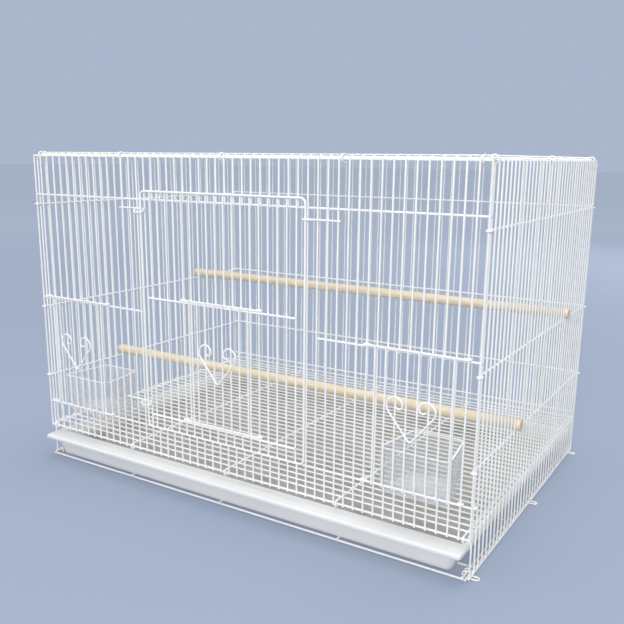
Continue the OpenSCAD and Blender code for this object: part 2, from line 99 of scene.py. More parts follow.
# %% [markdown]
# ## Helpers for modelling by hand
# An operator works on all that is selected, so each piece starts from an empty selection.
# Faces and edges are chosen by their place, as one would with the mouse.

# %% Choose and name objects
def clear_selection():
    if bpy.context.object and bpy.context.object.mode != "OBJECT":
        bpy.ops.object.mode_set(mode="OBJECT")
    bpy.ops.object.select_all(action="DESELECT")


def pick(piece):
    clear_selection()
    piece.select_set(True)
    bpy.context.view_layer.objects.active = piece


def set_down(piece, name):
    """Names a piece and puts its place into its mesh."""
    pick(piece)
    bpy.ops.object.transform_apply(location=True, rotation=True, scale=True)
    piece.name = name
    piece.data.name = name
    return piece


def copy_of(piece, name, shift=(0, 0, 0), turn=0):
    """A second piece with its own mesh, turned on the spot and moved by shift."""
    twin = piece.copy()
    twin.data = piece.data.copy()
    bpy.context.collection.objects.link(twin)
    twin.rotation_euler = (0, 0, turn)
    twin.location = shift
    return set_down(twin, name)


def joined(pieces, name):
    """Makes one piece of several, with the first as its start."""
    pick(pieces[0])
    for other in pieces[1:]:
        other.select_set(True)
    bpy.ops.object.join()
    return set_down(pieces[0], name)


def triangles(piece):
    return sum(len(p.vertices) - 2 for p in piece.data.polygons)


# %% Choose parts of a mesh and finish it
def pick_faces(piece, test):
    """Selects the faces whose middle and normal pass the test."""
    net = bmesh.from_edit_mesh(piece.data)
    bpy.ops.mesh.select_all(action="DESELECT")
    for f in [f for f in net.faces if test(f.calc_center_median(), f.normal)]:
        f.select_set(True)
    bmesh.update_edit_mesh(piece.data)


def pick_edges(piece, test):
    """Selects the edges that pass the test, given each edge and its middle, and counts them."""
    net = bmesh.from_edit_mesh(piece.data)
    bpy.ops.mesh.select_all(action="DESELECT")
    found = [e for e in net.edges if test(e, (e.verts[0].co + e.verts[1].co) / 2)]
    for e in found:
        e.select_set(True)
    bmesh.update_edit_mesh(piece.data)
    return len(found)


def push(x=0, y=0, z=0):
    """Extrudes the selected faces or edges by a distance."""
    bpy.ops.mesh.extrude_region_move(TRANSFORM_OT_translate={"value": (x, y, z)})


def finish_with(piece, kind, **settings):
    """Adds one modifier and applies it."""
    pick(piece)
    step = piece.modifiers.new(kind.lower(), kind)
    for key, value in settings.items():
        setattr(step, key, value)
    bpy.ops.object.modifier_apply(modifier=step.name)


def smooth(piece, angle):
    pick(piece)
    bpy.ops.object.shade_smooth_by_angle(angle=radians(angle))


# %% [markdown]
# ## Bending a wire
# A real wire is bent on a jig: it runs straight, turns round a pin, and runs straight again.
# The helper does the same with a ring of points. Extrude carries the ring along a straight
# run, and spin carries it round a pin. That keeps the wire round and unbroken, where separate
# cylinders would show a seam at each bend. Spin turns against the right-hand rule that the
# rest of the sum follows, so its angle has the sign changed. Both ends get a small dome.

# %% Close the end of a wire
DOME = ((0.45, 0.86), (0.3, 0.55))


def round_tip(place, ahead, r):
    """Closes the selected ring with a small dome, in steps of reach and narrowing."""
    for out, narrowing in DOME:
        place = place + ahead * out * r
        push(*(ahead * out * r))
        bpy.ops.transform.resize(value=(narrowing,) * 3, center_override=tuple(place))
    bpy.ops.mesh.edge_face_add()


# %% Bend a wire from a ring
RING_SIDES = 12
ARC_STEP = 14
FEWEST_STEPS = 3
SPIN_SIGN = -1
MERGE_GAP = 0.02 * MM
WIRE_SMOOTH = 50


def bend_wire(name, at, heading, moves, r):
    """Bends a wire from at, by moves of ("run", length) or ("turn", pin, axis, degrees)."""
    clear_selection()
    bpy.ops.mesh.primitive_circle_add(
        vertices=RING_SIDES, radius=r, fill_type="NOTHING", location=at,
        rotation=Vector(heading).to_track_quat("Z", "Y").to_euler())
    wire = set_down(bpy.context.object, name)
    bpy.ops.object.mode_set(mode="EDIT")
    bpy.ops.mesh.select_all(action="SELECT")
    place = Vector(at)
    ahead = Vector(heading).normalized()
    for move in moves:
        if move[0] == "run":
            push(*(ahead * move[1]))
            place = place + ahead * move[1]
        else:
            pin, axis, angle = Vector(move[1]), Vector(move[2]), move[3]
            steps = max(FEWEST_STEPS, round(abs(angle) / ARC_STEP))
            bpy.ops.mesh.spin(steps=steps, angle=SPIN_SIGN * radians(angle),
                              center=tuple(pin), axis=tuple(axis))
            turn = Matrix.Rotation(radians(angle), 3, axis)
            place = pin + turn @ (place - pin)
            ahead = turn @ ahead
    round_tip(place, ahead, r)
    bpy.ops.object.mode_set(mode="OBJECT")
    bpy.ops.object.mode_set(mode="EDIT")
    bpy.ops.mesh.select_all(action="DESELECT")
    bpy.ops.mesh.select_non_manifold()
    round_tip(Vector(at), -Vector(heading).normalized(), r)
    bpy.ops.mesh.select_all(action="SELECT")
    bpy.ops.mesh.remove_doubles(threshold=MERGE_GAP)
    bpy.ops.mesh.normals_make_consistent(inside=False)
    bpy.ops.object.mode_set(mode="OBJECT")
    smooth(wire, WIRE_SMOOTH)
    return wire


# %% [markdown]
# ## Heart handles
# Each lift door is raised by a small heart of bent wire, with a scroll in each lobe. The wire
# starts as a tight hook inside one scroll, opens out over the shoulder into the lobe, comes
# down to the point and goes up again on the other side. Each turn is tangent to the next, so
# the scroll tightens without a kink, and all turns go the same way, as on a winding jig.

# %% Work out the heart's outline
LOBE = Vector((16.5, 0, 34.5)) * MM
LOBE_R = 10 * MM
POINT_R = 2.5 * MM
SHOULDER_R = 8 * MM
HOOK_R = 4 * MM
SHOULDER_AT, HOOK_AT, HOOK_END = 75, 185, 320
lobe_reach = hypot(LOBE.x, LOBE.z - POINT_R)
lean = atan2(LOBE.z - POINT_R, LOBE.x) - asin((LOBE_R - POINT_R) / lobe_reach)
leg = (lobe_reach ** 2 - (LOBE_R - POINT_R) ** 2) ** 0.5


def spoke(angle):
    """One step out in the plane of the heart, at an angle up from the right."""
    return Vector((cos(radians(angle)), 0, sin(radians(angle))))


shoulder_pin = LOBE + spoke(SHOULDER_AT) * (LOBE_R - SHOULDER_R)
hook_pin = shoulder_pin + spoke(HOOK_AT) * (SHOULDER_R - HOOK_R)
print("heart leg", round(leg, 5), "lean", round(degrees(lean), 2))


# %% Bend the first heart and copy it
def heart_wire(name, at):
    turn = (0, 1, 0)
    scroll = [(hook_pin, HOOK_END - HOOK_AT), (shoulder_pin, HOOK_AT - SHOULDER_AT),
              (LOBE, SHOULDER_AT + 90 - degrees(lean))]
    moves = [("turn", at + pin, turn, angle) for pin, angle in scroll]
    moves += [("run", leg), ("turn", at + Vector((0, 0, POINT_R)), turn, 2 * degrees(lean)),
              ("run", leg)]
    moves += [("turn", at + Vector((-pin.x, 0, pin.z)), turn, angle)
              for pin, angle in reversed(scroll)]
    start = at + hook_pin + spoke(HOOK_END) * HOOK_R
    return bend_wire(name, start, spoke(HOOK_END - 90), moves, UPRIGHT_R)


SIDE_HEART_Y, SIDE_HEART_Z = FRONT_Y - 6.74 * MM, 137.2 * MM
CENTRE_HEART_Y, CENTRE_HEART_Z = FRONT_Y - 9.32 * MM, 156.9 * MM
heart_places = {
    "left": Vector((-SIDE_DOOR_X, SIDE_HEART_Y, SIDE_HEART_Z)),
    "right": Vector((SIDE_DOOR_X, SIDE_HEART_Y, SIDE_HEART_Z)),
    "centre": Vector((DOOR_LEFT + DOOR_WIDE / 2, CENTRE_HEART_Y, CENTRE_HEART_Z)),
}
hearts = {"left": heart_wire("heart_wire_left", heart_places["left"])}
for where in ("right", "centre"):
    shift = heart_places[where] - heart_places["left"]
    hearts[where] = copy_of(hearts["left"], "heart_wire_" + where, shift)
for where, piece in hearts.items():
    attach(piece, "lift_" + where)
    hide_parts("heart_" + where)
print("heart triangles", triangles(hearts["left"]))

# %% [markdown]
# ## Latch
# The latch is one wire: an oblong eye that turns on the right leg of the door, a straight arm
# across the next wires, and a short bent finger tip to pull. The eye is left open by a few
# degrees, where the end of the wire stops short of the arm.

# %% Bend the latch
LATCH_Z = 351 * MM
LATCH_R = 2.5 * MM
LATCH_GAP = radians(5)
LATCH_EYE = 6 * MM
LATCH_ARM = 38 * MM
TIP_R = 3 * MM
TIP_TURN, TIP_RUN = 70, 6 * MM
latch_mid = Vector((DOOR_LEFT + DOOR_WIDE, LEG_Y, LATCH_Z))
far_pin = latch_mid + Vector((LATCH_EYE, 0, 0))
tip_pin = latch_mid + Vector((LATCH_ARM, LATCH_R - TIP_R, 0))
start = far_pin + Vector((cos(LATCH_GAP), sin(LATCH_GAP), 0)) * LATCH_R
latch = bend_wire(
    "latch_wire", start, (sin(LATCH_GAP), -cos(LATCH_GAP), 0),
    [("turn", far_pin, DOWN, 90 + degrees(LATCH_GAP)), ("run", LATCH_EYE),
     ("turn", latch_mid, DOWN, 180), ("run", LATCH_ARM),
     ("turn", tip_pin, DOWN, TIP_TURN), ("run", TIP_RUN)], UPRIGHT_R)
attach(latch, "door_latch")
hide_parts("door_latch")
print("latch box", [round(c, 4) for c in latch.bound_box[0]])

# %% [markdown]
# ## Hinge eyes
# Two eyes on the front wires hold the left leg of the door. Each is a straight leg welded
# behind, bent into a long loop that leans forward, so that it can be threaded over the door.

# %% Bend the hinge eyes
EYE_LEAN = radians(38)
EYE_R = 2.78 * MM / cos(EYE_LEAN)
EYE_LEG = 38 * MM
EYE_LONG = 7 * MM
EYE_CLOSING = 110
EYE_X = DOOR_LEFT + 0.5 * MM
EYE_HEIGHTS = {"hinge_eye_upper": 350 * MM, "hinge_eye_lower": 112 * MM}


def hinge_eye(name, height):
    eye_wire = bend_wire(
        name, (-EYE_LEG, EYE_R, 0), (1, 0, 0),
        [("run", EYE_LEG), ("turn", (0, 0, 0), DOWN, 180), ("run", EYE_LONG),
         ("turn", (-EYE_LONG, 0, 0), DOWN, EYE_CLOSING)], UPRIGHT_R)
    eye_wire.rotation_euler = (EYE_LEAN, 0, 0)
    eye_wire.location = (EYE_X, LEG_Y, height)
    return set_down(eye_wire, name)


hinge_loops = joined([hinge_eye(*eye_place) for eye_place in EYE_HEIGHTS.items()], "hinge_loops")
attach(hinge_loops, "cage")
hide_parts("hinge_eyes")
print("hinge triangles", triangles(hinge_loops))

# %% [markdown]
# ## Foot loops
# Six small feet of thin wire carry the cage. Each is one wire: a hook round the rails of the
# base, a leg that runs out under the wall, a round bend that lies flat on the table, and the
# same way back to a second hook. The two planes meet where the straight legs are.

# %% Bend one foot loop and copy it
FOOT_R = 0.9 * MM
HOOK_PIN = Vector((301.1, 0, 4.4)) * MM
BEND_PIN = Vector((311.5, 0, 0.9)) * MM
FOOT_HOOK_R = 3.5 * MM
LEG_GAP = 3 * MM
LOOP_TIP = 2 * MM
LOOP_PLACES = (11 * MM, 215 * MM, 407 * MM)
leg_shift = Vector((0, LEG_GAP, 0))
leg_run = BEND_PIN.x - HOOK_PIN.x
first_loop = bend_wire(
    "foot_loop", HOOK_PIN - leg_shift + Vector((LOOP_TIP, 0, FOOT_HOOK_R)), (-1, 0, 0),
    [("run", LOOP_TIP), ("turn", HOOK_PIN - leg_shift, (0, -1, 0), 180), ("run", leg_run),
     ("turn", BEND_PIN, (0, 0, 1), 180), ("run", leg_run),
     ("turn", HOOK_PIN + leg_shift, (0, 1, 0), 180), ("run", LOOP_TIP)], FOOT_R)
loops = []
for behind in LOOP_PLACES:
    spot = (0, FRONT_Y + behind, 0)
    loops.append(copy_of(first_loop, "foot_loop_right", spot))
    loops.append(copy_of(first_loop, "foot_loop_left", spot, turn=pi))
bpy.data.objects.remove(first_loop)
foot_loops = joined(loops, "foot_loops")
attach(foot_loops, "cage")
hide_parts("foot_clips")
print("foot loop triangles", triangles(foot_loops))

# %% [markdown]
# ## Rails under the side walls
# Seen from outside, the upright wires of a side wall end on one straight wire. It is a plain
# run under their tips, so it hides the row of cut ends.

# %% Lay the two rails
RAIL_START = FRONT_Y + 2.6 * MM
RAIL_RUN = 412.8 * MM
RAIL_Z = 2.4 * MM
foot_rails = [bend_wire("foot_rail", (sign * HALF_WIDTH, RAIL_START, RAIL_Z), (0, 1, 0),
                        [("run", RAIL_RUN)], UPRIGHT_R) for sign in (-1, 1)]
side_foot_rails = joined(foot_rails, "side_foot_rails")
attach(side_foot_rails, "cage")
print("foot rail triangles", triangles(side_foot_rails))

# %% [markdown]
# ## Litter tray
# The tray is moulded in one piece of white plastic. Its walls lean out, its rim is flat and
# wider at the front, where it makes a grip with a lip that hangs down. It is modelled as one
# skin, from the rim inwards and down, and then given its thickness, as the mould does.

# %% Draw the outlines of the tray
RIM_Z = 35.5 * MM
RIM_FRONT = FRONT_Y - 15.5 * MM
RIM_BACK = FRONT_Y + 409 * MM
RIM_HALF = 302.6 * MM
RIM_ROUND = 3 * MM
RIM_WIDE, RIM_WIDE_FRONT = 7.6 * MM, 12 * MM
OPEN_FRONT = RIM_FRONT + RIM_WIDE_FRONT
OPEN_BACK = RIM_BACK - RIM_WIDE
OPEN_HALF = RIM_HALF - RIM_WIDE
OPEN_ROUND = 6 * MM
rim_mid = (OPEN_FRONT + OPEN_BACK) / 2


def rounded_outline(half, front, back, corner, segments):
    """A flat rectangle with round corners and no face in it."""
    clear_selection()
    bpy.ops.mesh.primitive_plane_add(size=1, location=(0, (front + back) / 2, RIM_Z))
    outline = bpy.context.object
    outline.scale = (2 * half, back - front, 1)
    set_down(outline, "outline")
    bpy.ops.object.mode_set(mode="EDIT")
    bpy.ops.mesh.select_all(action="SELECT")
    bpy.ops.mesh.bevel(affect="VERTICES", offset=corner, segments=segments)
    bpy.ops.mesh.select_all(action="SELECT")
    bpy.ops.mesh.delete(type="ONLY_FACE")
    bpy.ops.object.mode_set(mode="OBJECT")
    return outline


rim = rounded_outline(RIM_HALF, RIM_FRONT, RIM_BACK, RIM_ROUND, 4)
tray = rounded_outline(OPEN_HALF, OPEN_FRONT, OPEN_BACK, OPEN_ROUND, 8)
print("outlines of", len(rim.data.edges), "and", len(tray.data.edges), "edges")


# %% Make one skin of the outlines
def on_opening(e, mid):
    within = abs(mid.x) < OPEN_HALF + MM and OPEN_FRONT - MM < mid.y < OPEN_BACK + MM
    return e.is_boundary and within


joined([tray, rim], "litter_tray")
bpy.ops.object.mode_set(mode="EDIT")
bpy.ops.mesh.select_mode(type="EDGE")
bpy.ops.mesh.select_all(action="SELECT")
bpy.ops.mesh.bridge_edge_loops()
pick_edges(tray, on_opening)
bpy.ops.mesh.edge_face_add()
bpy.ops.mesh.select_all(action="SELECT")
bpy.ops.mesh.normals_make_consistent(inside=False)
bpy.ops.mesh.select_mode(type="VERT")
skin = bmesh.from_edit_mesh(tray.data)
print("tray skin faces", len(skin.faces), "up", sum(f.normal.z > 0 for f in skin.faces))

# %% Push the floor of the tray down
NECK, NECK_TAPER = 5 * MM, (0.9945, 0.9955, 1)
WALL_DROP, WALL_TAPER = 23.3 * MM, (0.975, 0.979, 1)
TAPER_SHIFT = 2 * MM
FLOOR_ROUND = 3.5 * MM
MIDDLE = 50 * MM
pick_faces(tray, lambda c, n: abs(c.x) < MIDDLE and abs(c.y - rim_mid) < MIDDLE)
push(z=-NECK)
bpy.ops.transform.resize(value=NECK_TAPER, center_override=(0, rim_mid, RIM_Z))
push(z=-WALL_DROP)
bpy.ops.transform.resize(value=WALL_TAPER, center_override=(0, rim_mid + TAPER_SHIFT, RIM_Z))
bpy.ops.mesh.region_to_loop()
bpy.ops.mesh.bevel(offset=FLOOR_ROUND, segments=4, affect="EDGES")
print("tray lowest", round(min(v.co.z for v in bmesh.from_edit_mesh(tray.data).verts), 5))

# %% Turn the rim down and roll its edge
RIM_TURN = 2.2 * MM
LIP_DROP, LIP_DEEP = 2.3 * MM, 6 * MM
RIM_ROLL = 1.7 * MM
EDGE_BAND = 3.1 * MM
bpy.ops.mesh.select_all(action="DESELECT")
bpy.ops.mesh.select_mode(type="EDGE")
bpy.ops.mesh.select_non_manifold()
push(z=-RIM_TURN)
hem = bmesh.from_edit_mesh(tray.data)
for v in hem.verts:
    v.select_set(v.select and v.co.y < RIM_FRONT + LIP_DEEP)
hem.select_flush_mode()
bmesh.update_edit_mesh(tray.data)
bpy.ops.transform.translate(value=(0, 0, -LIP_DROP))


def on_rim_edge(e, mid):
    """The outer edges of the flat rim, where the skin turns down."""
    flat = max(abs(v.co.z - RIM_Z) for v in e.verts) < 0.01 * MM
    beside = abs(mid.x) > RIM_HALF - EDGE_BAND
    at_end = not RIM_FRONT + EDGE_BAND < mid.y < RIM_BACK - EDGE_BAND
    hanging = any(f.calc_center_median().z < RIM_Z - 0.5 * MM for f in e.link_faces)
    return flat and (beside or at_end) and hanging


rolled = pick_edges(tray, on_rim_edge)
bpy.ops.mesh.bevel(offset=RIM_ROLL, segments=4, affect="EDGES")
bpy.ops.object.mode_set(mode="OBJECT")
print("rolled edges", rolled)

# %% Give the tray its thickness
WALL = 1.9 * MM
finish_with(tray, "SOLIDIFY", thickness=WALL, offset=-1.0, use_even_offset=True)
finish_with(tray, "BEVEL", width=0.5 * MM, segments=2, limit_method="ANGLE",
            angle_limit=radians(50))
print("tray wall", round(WALL, 4))

# %% [markdown]
# ### The broad ledge at the front
# Behind the front rail the rim carries on as a flat ledge, whose back edge turns down. It is a
# flat strip with the same thickness and the same top as the rim, and a union makes the two
# one piece of plastic.

# %% Add the ledge
LEDGE_BACK = FRONT_Y + 9.5 * MM
LEDGE_FRONT = OPEN_FRONT - 1.6 * MM
LEDGE_WIDE = 2 * OPEN_HALF + 1.8 * MM
LEDGE_TURN, LEDGE_TAPER = 4.5 * MM, (0.995, 1, 1)
clear_selection()
bpy.ops.mesh.primitive_cube_add(
    size=1, location=(0, (LEDGE_FRONT + LEDGE_BACK) / 2, RIM_Z - WALL / 2))
ledge = bpy.context.object
ledge.scale = (LEDGE_WIDE, LEDGE_BACK - LEDGE_FRONT, WALL)
set_down(ledge, "ledge")
bpy.ops.object.mode_set(mode="EDIT")
bpy.ops.mesh.select_all(action="SELECT")
bpy.ops.mesh.bisect(plane_co=(0, LEDGE_BACK - WALL, 0), plane_no=(0, 1, 0))
pick_faces(ledge, lambda c, n: n.z < -0.9 and c.y > LEDGE_BACK - WALL)
push(z=-LEDGE_TURN)
bpy.ops.transform.resize(value=LEDGE_TAPER, center_override=(0, LEDGE_BACK, RIM_Z))
bpy.ops.object.mode_set(mode="OBJECT")
finish_with(ledge, "BEVEL", width=0.6 * MM, segments=3, limit_method="ANGLE")
finish_with(tray, "BOOLEAN", operation="UNION", object=ledge, solver="EXACT")
bpy.data.objects.remove(ledge)
smooth(tray, 32)
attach(tray, "tray")
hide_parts("tray")
print("tray triangles", triangles(tray))

# %% [markdown]
# ## Feeding cups
# Each cup is a clear moulded box with rounded corners, narrower at the back. Two flat hooks on
# its front wall hang over the sill rail, between the cut wires of the side door.

# %% Shape the box of a cup
CUP_FRONT = FRONT_Y + 3.75 * MM
CUP_WIDE, CUP_DEEP = 80 * MM, 68 * MM
CUP_LOW, CUP_HIGH = 71 * MM, 121 * MM
CUP_WALL = 2 * MM
CUP_HOLLOW = 46.5 * MM
CUP_NARROWING, HOLLOW_TAPER = (0.75, 1, 1), (0.975, 0.975, 1)
CORNER_ROUND, FOOT_ROUND, INNER_ROUND, TOP_ROUND = 8 * MM, 4 * MM, 3 * MM, 0.6 * MM
cup_mid = Vector((0, CUP_FRONT + CUP_DEEP / 2, (CUP_LOW + CUP_HIGH) / 2))
clear_selection()
bpy.ops.mesh.primitive_cube_add(size=1, location=cup_mid)
cup = bpy.context.object
cup.scale = (CUP_WIDE, CUP_DEEP, CUP_HIGH - CUP_LOW)
set_down(cup, "cup")
bpy.ops.object.mode_set(mode="EDIT")
pick_faces(cup, lambda c, n: n.y > 0.9)
bpy.ops.transform.resize(value=CUP_NARROWING, center_override=tuple(cup_mid))
pick_edges(cup, lambda e, mid: abs(e.verts[0].co.z - e.verts[1].co.z) > 10 * MM)
bpy.ops.mesh.bevel(offset=CORNER_ROUND, segments=6, affect="EDGES")
pick_faces(cup, lambda c, n: n.z < -0.9)
bpy.ops.mesh.region_to_loop()
bpy.ops.mesh.bevel(offset=FOOT_ROUND, segments=4, affect="EDGES")
pick_faces(cup, lambda c, n: n.z > 0.9)
bpy.ops.mesh.inset(thickness=CUP_WALL)
push(z=-CUP_HOLLOW)
bpy.ops.transform.resize(value=HOLLOW_TAPER, center_override=tuple(cup_mid))
bpy.ops.mesh.region_to_loop()
bpy.ops.mesh.bevel(offset=INNER_ROUND, segments=3, affect="EDGES")
pick_faces(cup, lambda c, n: n.z > 0.9 and c.z > CUP_HIGH - 0.1 * MM)
bpy.ops.mesh.region_to_loop()
bpy.ops.mesh.bevel(offset=TOP_ROUND, segments=2, affect="EDGES")
bpy.ops.object.mode_set(mode="OBJECT")
print("cup faces", len(cup.data.polygons))

# %% Add the hooks and copy the cup
TONGUE = (6 * MM, 6.2 * MM, 2 * MM)
TONGUE_Y, TONGUE_Z = FRONT_Y + 2.2 * MM, 82 * MM
TONGUE_CUT = FRONT_Y + 0.66 * MM
TONGUE_DROP = 6.8 * MM
TONGUE_APART = 24 * MM


def cup_hook(x):
    """A flat tongue over the rail, with an end that turns down in front of it."""
    clear_selection()
    bpy.ops.mesh.primitive_cube_add(size=1, location=(x, TONGUE_Y, TONGUE_Z))
    hook = bpy.context.object
    hook.scale = TONGUE
    set_down(hook, "cup_hook")
    bpy.ops.object.mode_set(mode="EDIT")
    bpy.ops.mesh.select_all(action="SELECT")
    bpy.ops.mesh.bisect(plane_co=(0, TONGUE_CUT, 0), plane_no=(0, 1, 0))
    pick_faces(hook, lambda c, n: n.z < -0.9 and c.y < TONGUE_CUT)
    push(z=-TONGUE_DROP)
    bpy.ops.object.mode_set(mode="OBJECT")
    finish_with(hook, "BEVEL", width=0.4 * MM, segments=2, limit_method="ANGLE")
    return hook


joined([cup, cup_hook(-TONGUE_APART), cup_hook(TONGUE_APART)], "cup")
smooth(cup, 30)
cups = {"left": copy_of(cup, "clear_cup_left", (-SIDE_DOOR_X, 0, 0)),
        "right": copy_of(cup, "clear_cup_right", (SIDE_DOOR_X, 0, 0))}
bpy.data.objects.remove(cup)
for where, piece in cups.items():
    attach(piece, "cup_" + where)
    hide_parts("cup_" + where)
print("cup triangles", triangles(cups["left"]))

# %% [markdown]
# ## Perches
# A perch is a plain dowel with a saw slot in each end, which straddles an upright wire of the
# side wall while the dowel rests on the rail below. The sharp ends are eased, and the slots are
# cut with a thin block, as a saw would.

# %% Turn one dowel and saw its slots
DOWEL_R, DOWEL_LONG, DOWEL_EASE = 6.4 * MM, 620 * MM, 0.7 * MM
SAW = (10 * MM, 2.6 * MM, 20 * MM)
SAW_X = 309.6 * MM
UPPER_PERCH = (FRONT_Y + 317 * MM, 221.4 * MM)
LOWER_PERCH = (FRONT_Y + 137 * MM, 125.4 * MM)


def dowel(name, y, z):
    clear_selection()
    bpy.ops.mesh.primitive_cylinder_add(
        vertices=40, radius=DOWEL_R, depth=DOWEL_LONG, location=(0, y, z),
        rotation=(0, pi / 2, 0), end_fill_type="NGON")
    stick = set_down(bpy.context.object, name)
    bpy.ops.object.mode_set(mode="EDIT")
    pick_faces(stick, lambda c, n: abs(n.x) > 0.9)
    bpy.ops.mesh.region_to_loop()
    bpy.ops.mesh.bevel(offset=DOWEL_EASE, segments=3, affect="EDGES")
    bpy.ops.object.mode_set(mode="OBJECT")
    for end in (-1, 1):
        clear_selection()
        bpy.ops.mesh.primitive_cube_add(size=1, location=(end * SAW_X, y, z))
        saw = bpy.context.object
        saw.scale = SAW
        set_down(saw, "saw")
        finish_with(stick, "BOOLEAN", object=saw, operation="DIFFERENCE", solver="EXACT")
        bpy.data.objects.remove(saw)
    smooth(stick, 30)
    return stick


upper_perch = dowel("perch_dowel_upper", *UPPER_PERCH)
lower_perch = dowel("perch_dowel_lower", *LOWER_PERCH)
for where, piece in (("upper", upper_perch), ("lower", lower_perch)):
    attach(piece, "perch_" + where)
    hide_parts("perch_" + where)
print("perch triangles", triangles(upper_perch))

# %% [markdown]
# ## Weld marks
# Where two wires cross, the spot weld squeezes them together, and the coating fills the
# corner with a small bead. One low bead is made and repeated along each rail with an Array
# modifier, because hundreds of separate copies would be slow to handle.

# %% Make rows of beads
BEAD_R, BEAD_LOW = 1.45 * MM, 0.62


def bead_row(at, along, count, flat):
    """A row of beads, each low on the axis numbered flat."""
    clear_selection()
    bpy.ops.mesh.primitive_ico_sphere_add(subdivisions=1, radius=BEAD_R, location=at)
    bead = bpy.context.object
    bead.scale = [BEAD_LOW if k == flat else 1.0 for k in range(3)]
    bpy.ops.object.transform_apply(location=True, rotation=True, scale=True)
    finish_with(bead, "ARRAY", count=count, use_relative_offset=False,
                use_constant_offset=True, constant_offset_displace=along)
    return bead


def join_rows(rows, name, body):
    beads = joined(rows, name)
    bpy.ops.object.shade_smooth()
    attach(beads, body)
    print(name, "triangles", triangles(beads))
    return beads


# %% Beads on the four walls
ACROSS = (PITCH, 0, 0)
DEEPER = (0, PITCH, 0)
FRONT_WIRES, SIDE_WIRES, SIDE_DOOR_WIRES = 52, 35, 16
TOUCH = 1.01 * MM
SIDE_FIRST = FRONT_Y + 5 * MM
FRONT_RAILS = (45 * MM, 79.5 * MM, 362.5 * MM, 411.7 * MM)
SHORT_RAIL = 226.5 * MM
BACK_RAILS = (3.2 * MM, 52 * MM, 60.5 * MM, 120.2 * MM, 216.2 * MM, 352.7 * MM, 411.7 * MM)
SIDE_RAILS = (3.2 * MM, 48.2 * MM, 117.5 * MM, 213.5 * MM, 350 * MM, 411.7 * MM)
rows = [bead_row((-HALF_WIDTH, FRONT_Y + TOUCH, z), ACROSS, FRONT_WIRES, 1) for z in FRONT_RAILS]
for x in (-HALF_WIDTH, HALF_WIDTH - (SIDE_DOOR_WIRES - 1) * PITCH):
    rows.append(bead_row((x, FRONT_Y + TOUCH, SHORT_RAIL), ACROSS, SIDE_DOOR_WIRES, 1))
beads = [join_rows(rows, "front_welds", "cage")]
rows = [bead_row((-HALF_WIDTH, BACK_Y - TOUCH, z), ACROSS, FRONT_WIRES, 1) for z in BACK_RAILS]
beads.append(join_rows(rows, "back_welds", "cage"))
for sign, where in ((-1, "left"), (1, "right")):
    x = sign * (HALF_WIDTH - TOUCH)
    rows = [bead_row((x, SIDE_FIRST, z), DEEPER, SIDE_WIRES, 0) for z in SIDE_RAILS]
    beads.append(join_rows(rows, where + "_welds", "cage"))

# %% Beads on the top and the floor
TOP_Z = 414.61 * MM
TOP_RAILS = (5.7 * MM, 141 * MM, 277 * MM, 412.3 * MM)
GRATE_FIRST, GRATE_Z = FRONT_Y + 9.5 * MM, 49.41 * MM
GRATE_STEP, GRATE_WIRES = (0, 12.7 * MM, 0), 32
BEARERS = (-303.78, -299, -153, 0, 153, 299, 303.78)
rows = [bead_row((-HALF_WIDTH + PITCH, FRONT_Y + y, TOP_Z), ACROSS, FRONT_WIRES - 2, 2)
        for y in TOP_RAILS]
beads.append(join_rows(rows, "top_welds", "cage"))
rows = [bead_row((x * MM, GRATE_FIRST, GRATE_Z), GRATE_STEP, GRATE_WIRES, 2) for x in BEARERS]
beads.append(join_rows(rows, "floor_welds", "cage"))

# %% Beads on the doors
ALONG_DOOR = (DOOR_PITCH, 0, 0)
DOOR_BEAD_Y = FRONT_Y - 3.59 * MM
DOOR_RAILS = (83 * MM, 99.2 * MM, 246.2 * MM, 372.5 * MM)
SIDE_LIFT = (FRONT_Y - 3.71 * MM, ACROSS, (82.2 * MM, 229.2 * MM))
CENTRE_LIFT = (FRONT_Y - 6.29 * MM, ALONG_DOOR, (101.9 * MM, 248.9 * MM))
LIFT_WIRES = 8
rows = [bead_row((DOOR_LEFT + DOOR_PITCH, DOOR_BEAD_Y, z), ALONG_DOOR, 18, 1) for z in DOOR_RAILS]
beads.append(join_rows(rows, "door_welds", "main_door"))
for where, x, (y, along, heights) in (("left", -SIDE_DOOR_X - 3.5 * PITCH, SIDE_LIFT),
                                      ("right", SIDE_DOOR_X - 3.5 * PITCH, SIDE_LIFT),
                                      ("centre", DOOR_LEFT + 6 * DOOR_PITCH, CENTRE_LIFT)):
    rows = [bead_row((x, y, z), along, LIFT_WIRES, 1) for z in heights]
    beads.append(join_rows(rows, "lift_welds_" + where, "lift_" + where))

# %% [markdown]
# ## Finishes
# Three effects are node groups with named sockets: the fine orange peel of a coating and soft
# soiling in broad patches, which several finishes share, and the fibres of wood, which keep
# their three patterns together. The shaders stay in the materials, where each sets its own
# plain numbers.

# %% Place nodes and work on values
def add_node(tree, kind, **values):
    """Adds a node, and sets its own settings or the inputs that bear these names."""
    node = tree.nodes.new(kind)
    for key, value in values.items():
        if hasattr(node, key):
            setattr(node, key, value)
        else:
            node.inputs[key.replace("_", " ")].default_value = value
    return node


def range_of(tree, value, low, high):
    """A value from 0 to 1, spread from low to high."""
    spread = add_node(tree, "ShaderNodeMapRange", To_Min=low, To_Max=high)
    tree.links.new(value, spread.inputs["Value"])
    return spread.outputs["Result"]


def band_of(tree, value, start, end):
    """Nothing before start, one past end."""
    band = add_node(tree, "ShaderNodeMapRange", From_Min=start, From_Max=end)
    tree.links.new(value, band.inputs["Value"])
    return band.outputs["Result"]


